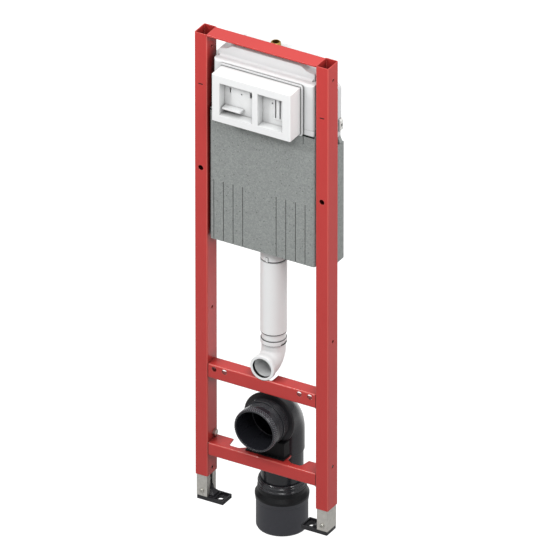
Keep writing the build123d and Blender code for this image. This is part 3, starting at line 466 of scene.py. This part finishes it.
def foam_joint_shade_line():
    """Strip of painted shade that shows as a dark line between the tank's collar and the foam."""
    low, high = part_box("insulation_front")
    left, right = low.x + 1 * MM, high.x - 1 * MM
    front, back = low.y - 0.4 * MM, low.y + 3 * MM
    bottom, top = high.z - 4.0 * MM, high.z - 0.6 * MM
    strip("foam_joint_shade_line", (left, front, bottom), (right, back, top), "black_rubber")


def pipe_joint_shade_rings():
    """Rings of painted shade that show as dark lines at the joints of the flush pipe and its elbow."""
    low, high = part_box("flush_pipe")
    # Name, inner and outer radius, end of the pipe it is measured from, and bottom and top above that end
    joint_shades = (("pipe_shade_top", 23.2, 27.4, high.z, 0.3, 2.2),
             ("pipe_shade_bottom", 26.2, 28.0, low.z, -1.6, -0.1),
             ("elbow_shade_upper", 26.2, 26.7, low.z, -17.9, -17.2),
             ("elbow_shade_lower", 26.2, 27.6, low.z, -27.9, -27.1))
    for name, inner_mm, outer_mm, end, bottom_mm, top_mm in joint_shades:
        dark_shade_ring(name, (low + high) / 2, inner_mm, outer_mm, end + bottom_mm * MM, end + top_mm * MM)


def mouth_ring_knurls():
    """Rows of small grip bars round the drain's mouth ring, each row half a bar further round than the last."""
    low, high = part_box("drain_mouth_ring")
    centre_z = (low.z + high.z) / 2
    radius = (high.x - low.x) / 2
    shape = Matrix.Diagonal((*GRIP_SIZE, 1.0))
    mesh = bmesh.new()
    for row, (depth_mm, sink_mm) in enumerate(GRIP_ROWS_MM):
        middle = Matrix.Translation((0, low.y + depth_mm * MM, centre_z))
        for k in range(GRIP_COUNT):
            angle = 2 * math.pi * (k + row / 2) / GRIP_COUNT
            turn = Matrix.Rotation(math.pi / 2 - angle, 4, "Y")
            out = Matrix.Translation((0, 0, radius - sink_mm * MM))
            bar = bmesh.ops.create_cube(mesh, size=1.0)
            bmesh.ops.transform(mesh, matrix=middle @ turn @ out @ shape, verts=bar["verts"])
    bmesh.ops.bevel(mesh, geom=mesh.edges[:], offset=GRIP_BEVEL, segments=1, affect="EDGES", profile=0.5)
    # The grip bars are drawn mid grey as a painted highlight
    add_piece("mouth_ring_knurls", mesh, "drain_plastic", finish="knurl_highlight_plastic")


def frame_marks():
    """Dark strips of painted shade: in the slit of the metre mark on each post and in the gap at the ends of the two
    lower bars.
    """
    for side in ("left", "right"):
        low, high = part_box(side + "_post")
        middle = (low.x + high.x) / 2
        front, back = low.y - 0.05 * MM, low.y + 1 * MM
        strip(side + "_metre_mark", (middle - MARK_HALF_WIDTH, front, MARK_LEVEL - MARK_HALF_HEIGHT),
              (middle + MARK_HALF_WIDTH, back, MARK_LEVEL + MARK_HALF_HEIGHT), "black_rubber")
    for bar in ("bowl_mounting_bar", "lower_bar"):
        low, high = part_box(bar)
        front, back = low.y - 0.1 * MM, low.y + 0.6 * MM
        for side, left in (("left", low.x), ("right", high.x - END_SHADE_WIDTH)):
            strip(bar + "_end_shade_" + side, (left, front, low.z), (left + END_SHADE_WIDTH, back, high.z), "black_rubber")


def inlet_thread():
    """Ridges on the brass inlet at the pitch of a half-inch pipe thread."""
    low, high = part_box("water_inlet")
    for number in range(THREAD_TURNS):
        level = low.z + THREAD_START + number * THREAD_PITCH
        mesh = bmesh.new()
        tube_between(mesh, [level_circle((low + high) / 2, radius * MM, level + rise * MM, THREAD_STEPS)
                            for radius, rise in THREAD_PROFILE_MM])
        add_piece("inlet_thread_" + str(number + 1), mesh, "brass")


def bar_lip():
    """Back edge of the bowl bar's lower flange, which shows through the lower half of the bolt holes."""
    low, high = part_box("bowl_mounting_bar")
    left, right = low.x + 0.2 * MM, high.x - 0.2 * MM
    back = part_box("left_post")[1].y - 4 * MM
    strip("bowl_bar_lip", (left, high.y, low.z), (right, back, low.z + LIP_THICKNESS), "red_steel")


# Stage, light and camera

def studio_white():
    """White paint. It glows to the camera, which makes the background plain white, and dimly in reflections,
    with a brighter patch behind the frame that gives the drain's shoulder its grey highlight."""
    material, tree = start("studio_white")
    paint = add(tree, "ShaderNodeBsdfDiffuse", {"Color": linear("#A8A8A8")})
    place = add(tree, "ShaderNodeNewGeometry", {})
    axes = add(tree, "ShaderNodeSeparateXYZ", {}, {"Vector": (place, "Position")})
    aside = add(tree, "ShaderNodeMapRange", {"From Min": 0.45, "From Max": 0.25}, {"Value": (axes, "X")})
    behind = add(tree, "ShaderNodeMapRange", {"From Min": 0.5, "From Max": 0.9}, {"Value": (axes, "Y")})
    patch = add(tree, "ShaderNodeMath", {"operation": "MULTIPLY"},
                {"Value": (aside, "Result"), "Value_001": (behind, "Result")})
    reflected = add(tree, "ShaderNodeMath", {"operation": "MULTIPLY_ADD", "Value_001": 0.85, "Value_002": 0.12},
                    {"Value": (patch, "Value")})
    ray = add(tree, "ShaderNodeLightPath", {})
    mirrored = add(tree, "ShaderNodeMath", {"operation": "MULTIPLY"},
                   {"Value": (reflected, "Value"), "Value_001": (ray, "Is Glossy Ray")})
    strength = add(tree, "ShaderNodeMath", {"operation": "MULTIPLY_ADD", "Value_001": 0.80},
                   {"Value": (ray, "Is Camera Ray"), "Value_002": (mirrored, "Value")})
    glow = add(tree, "ShaderNodeEmission", {"Color": linear("#FFFFFF")}, {"Strength": (strength, "Value")})
    both = add(tree, "ShaderNodeAddShader", {}, {"Shader": (paint, "BSDF"), "Shader_001": (glow, "Emission")})
    add(tree, "ShaderNodeOutputMaterial", {}, {"Surface": (both, "Shader")})
    return material


def make_floor():
    """Round white floor just below the level that the feet reach when the legs are drawn out."""
    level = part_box("left_foot")[0].z - LEG_TRAVEL - FLOOR_CLEARANCE
    mesh = bmesh.new()
    bmesh.ops.create_circle(mesh, cap_ends=True, segments=ROUND_STEPS, radius=FLOOR_RADIUS)
    data = bpy.data.meshes.new("studio_floor")
    mesh.to_mesh(data)
    mesh.free()
    data.materials.append(studio_white())
    floor = bpy.data.objects.new("studio_floor", data)
    floor.location = (TARGET.x, TARGET.y, level)
    bpy.context.scene.collection.objects.link(floor)


def make_world():
    """Even white dome, brighter from above, that the camera sees as plain white."""
    world = bpy.data.worlds.new("studio")
    world.use_nodes = True
    tree = world.node_tree
    tree.nodes.clear()
    place = add(tree, "ShaderNodeTexCoord", {})
    axes = add(tree, "ShaderNodeSeparateXYZ", {}, {"Vector": (place, "Generated")})
    height = add(tree, "ShaderNodeMapRange", {"From Min": -0.1, "From Max": 1.0, "To Min": 0.14, "To Max": 1.1},
                 {"Value": (axes, "Z")})
    dome = add(tree, "ShaderNodeBackground", {"Color": linear("#FFFFFF")}, {"Strength": (height, "Result")})
    white = add(tree, "ShaderNodeBackground", {"Color": linear("#FFFFFF"), "Strength": 1.0})
    ray = add(tree, "ShaderNodeLightPath", {})
    seen = add(tree, "ShaderNodeMath", {"operation": "MAXIMUM"},
               {"Value": (ray, "Is Camera Ray"), "Value_001": (ray, "Is Transmission Ray")})
    mixed = add(tree, "ShaderNodeMixShader", {},
                {"Fac": (seen, "Value"), "Shader": (dome, "Background"), "Shader_001": (white, "Background")})
    add(tree, "ShaderNodeOutputWorld", {}, {"Surface": (mixed, "Shader")})
    bpy.context.scene.world = world


def softbox(name, place, aim, width, height, power):
    """Rectangular area lamp that looks at a point."""
    data = bpy.data.lights.new(name, "AREA")
    data.shape = "RECTANGLE"
    data.size = width
    data.size_y = height
    data.energy = power
    lamp = bpy.data.objects.new(name, data)
    lamp.location = place
    lamp.rotation_mode = "QUATERNION"
    lamp.rotation_quaternion = (Vector(aim) - Vector(place)).to_track_quat("-Z", "Y")
    bpy.context.scene.collection.objects.link(lamp)


def make_lights():
    """Large key near the camera, a soft lamp over the roof, one high at the right and a small one at the left."""
    middle = (0.0, 0.0, -0.5)
    softbox("key", (0.80, -1.38, 1.06), middle, width=0.8, height=0.8, power=17.0)
    softbox("top", (0.20, -0.35, 1.10), (0.0, 0.0, 0.0), width=0.7, height=0.7, power=2.5)
    softbox("side", (1.40, -0.05, 0.60), (0.0, 0.0, -0.3), width=0.35, height=0.6, power=6.0)
    softbox("edge_light", (-1.00, -1.40, 1.00), middle, width=0.25, height=0.25, power=12.0)


def make_camera():
    """Camera that looks at the target along the two view angles, as far back as its long lens needs."""
    back = Vector((math.sin(VIEW_AZIMUTH) * math.cos(VIEW_ELEVATION),
                   -math.cos(VIEW_AZIMUTH) * math.cos(VIEW_ELEVATION), math.sin(VIEW_ELEVATION)))
    distance = VIEW_WIDTH * LENS / SENSOR
    data = bpy.data.cameras.new("camera")
    data.type = "PERSP"
    data.lens = LENS
    data.sensor_width = SENSOR
    data.clip_end = 2 * distance
    camera = bpy.data.objects.new("camera", data)
    camera.location = TARGET + back * distance
    camera.rotation_mode = "QUATERNION"
    camera.rotation_quaternion = (-back).to_track_quat("-Z", "Y")
    bpy.context.scene.collection.objects.link(camera)
    bpy.context.scene.camera = camera


make_camera()
make_world()
make_lights()
make_floor()
dress_nodes()
service_box_shade_lines()
foam_joint_shade_line()
pipe_joint_shade_rings()
mouth_ring_knurls()
frame_marks()
inlet_thread()
bar_lip()

bpy.context.scene.view_settings.view_transform = "Standard"
